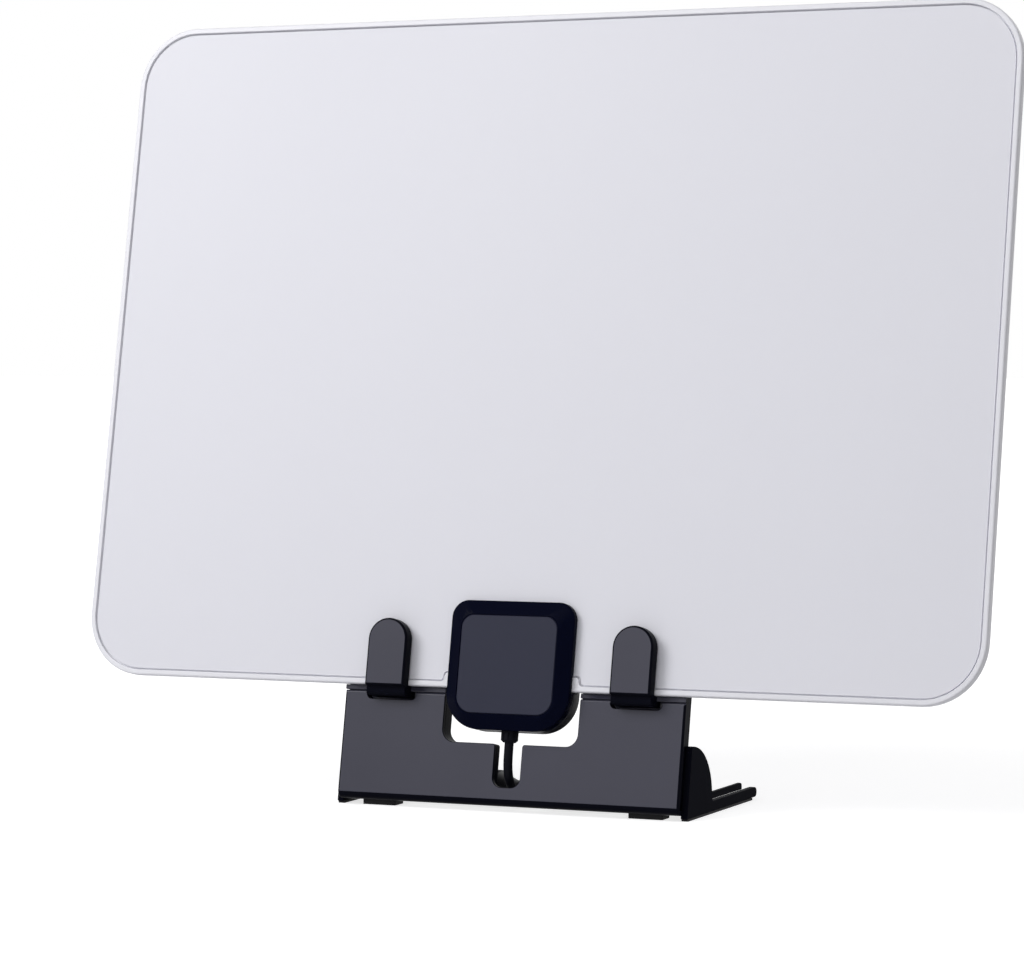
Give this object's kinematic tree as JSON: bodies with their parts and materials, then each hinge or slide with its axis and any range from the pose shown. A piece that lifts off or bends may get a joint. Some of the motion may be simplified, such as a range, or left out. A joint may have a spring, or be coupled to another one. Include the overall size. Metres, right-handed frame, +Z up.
{
  "type": "indoor tv antenna",
  "caption": "Flat pale indoor tv antenna panel with a dark junction box, leaning in a dark hooked table stand, with a coiled coaxial cable.",
  "frame": {"origin": "on the table, at the middle of the footprint of the stand and panel", "axes": "+Z up, +X to the right as seen from the front, the panel's front faces -Y"},
  "size_m": [0.3, 0.0814, 0.2449],
  "materials": {
    "panel_white": "fine satin moulded sheet",
    "rim_white": "smooth moulded frame",
    "back_white": "plain satin sheet",
    "clear_film": "thin carrier film",
    "foil": "bare rolled foil",
    "box_gloss": "polished moulding",
    "box_satin": "fine satin plate",
    "box_back": "fine spark-eroded moulding",
    "board_green": "coated glass-fibre board",
    "ferrite": "sintered core",
    "steel": "zinc-plated screw",
    "stand_plastic": "satin moulding",
    "leg_plastic": "satin moulding",
    "foot_rubber": "soft non-slip rubber",
    "cable_rubber": "matt cable jacket",
    "tie_plastic": "flat strap",
    "plug_plastic": "ribbed moulding",
    "plug_metal": "nickel plate",
    "insulator_white": "moulded insulator"
  },
  "bodies": {
    "root": {"panel_rim": "rim_white", "front_sheet": "panel_white", "rear_sheet": "back_white", "antenna_film": "clear_film", "left_radiator": "foil", "right_radiator": "foil", "box_front_cover": "box_gloss", "box_face_plate": "box_satin", "box_rear_cover": "box_back", "circuit_board": "board_green", "balun_core": "ferrite", "box_screws": "steel", "strain_relief": "cable_rubber", "stand_front_cover": "stand_plastic", "stand_rear_body": "stand_plastic", "right_leg": "leg_plastic", "left_leg": "leg_plastic", "right_front_foot": "foot_rubber", "left_front_foot": "foot_rubber", "right_leg_strip": "foot_rubber", "left_leg_strip": "foot_rubber", "leg_screws": "steel", "coax_cable": "cable_rubber", "cable_coil": "cable_rubber", "cable_tie": "tie_plastic", "plug_lead": "cable_rubber", "plug_grip": "plug_plastic", "plug_shell": "plug_metal", "plug_insulator": "insulator_white", "plug_pin": "plug_metal"}
  },
  "joints": []
}
